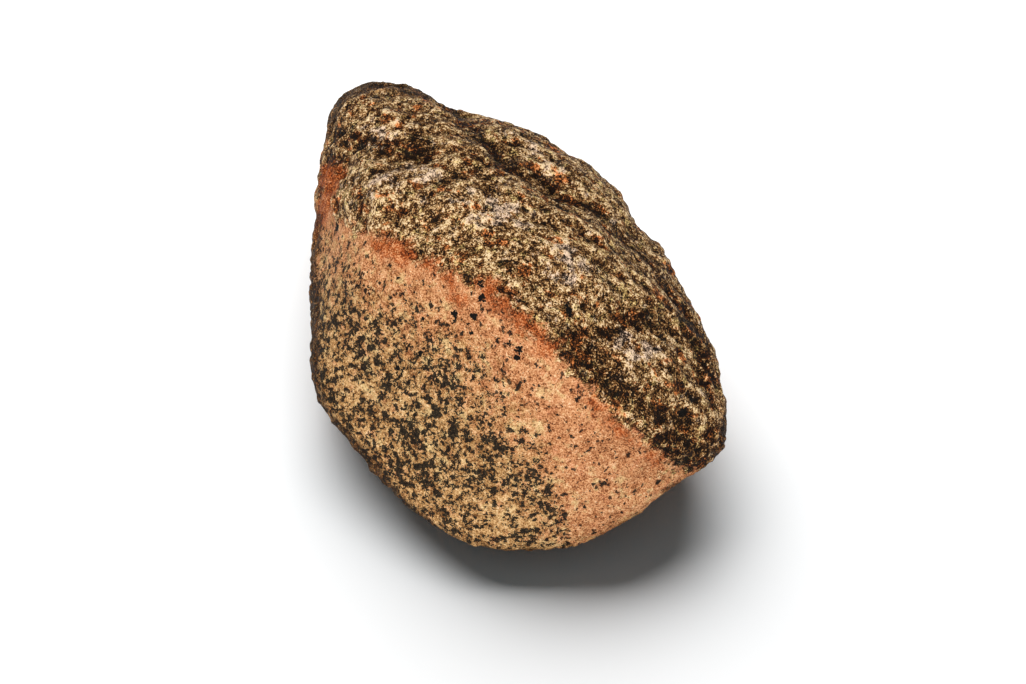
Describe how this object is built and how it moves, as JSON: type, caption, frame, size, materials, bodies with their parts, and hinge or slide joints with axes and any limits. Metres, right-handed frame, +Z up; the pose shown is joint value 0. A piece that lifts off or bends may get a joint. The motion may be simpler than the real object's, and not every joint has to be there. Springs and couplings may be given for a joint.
{
  "type": "rough rock",
  "caption": "Palm-sized lump of granite: a dark, weathered, layered rind on top and back, a smoother salmon-pink break in front, and a flat worn base it lies on",
  "frame": {"origin": "on the ground under the middle of the stone's bounding box", "axes": "+Z up, the stone's short way; +Y from the pink break at the front to the knob at the back, its long way; +X to the right seen from the front"},
  "size_m": [0.0888, 0.1052, 0.0516],
  "materials": {
    "rock": "dry weathered granite, salmon pink with black and cream grains in front, dark brown-grey and rougher on top and back"
  },
  "bodies": {
    "root": {"rock": "rock"}
  },
  "joints": []
}
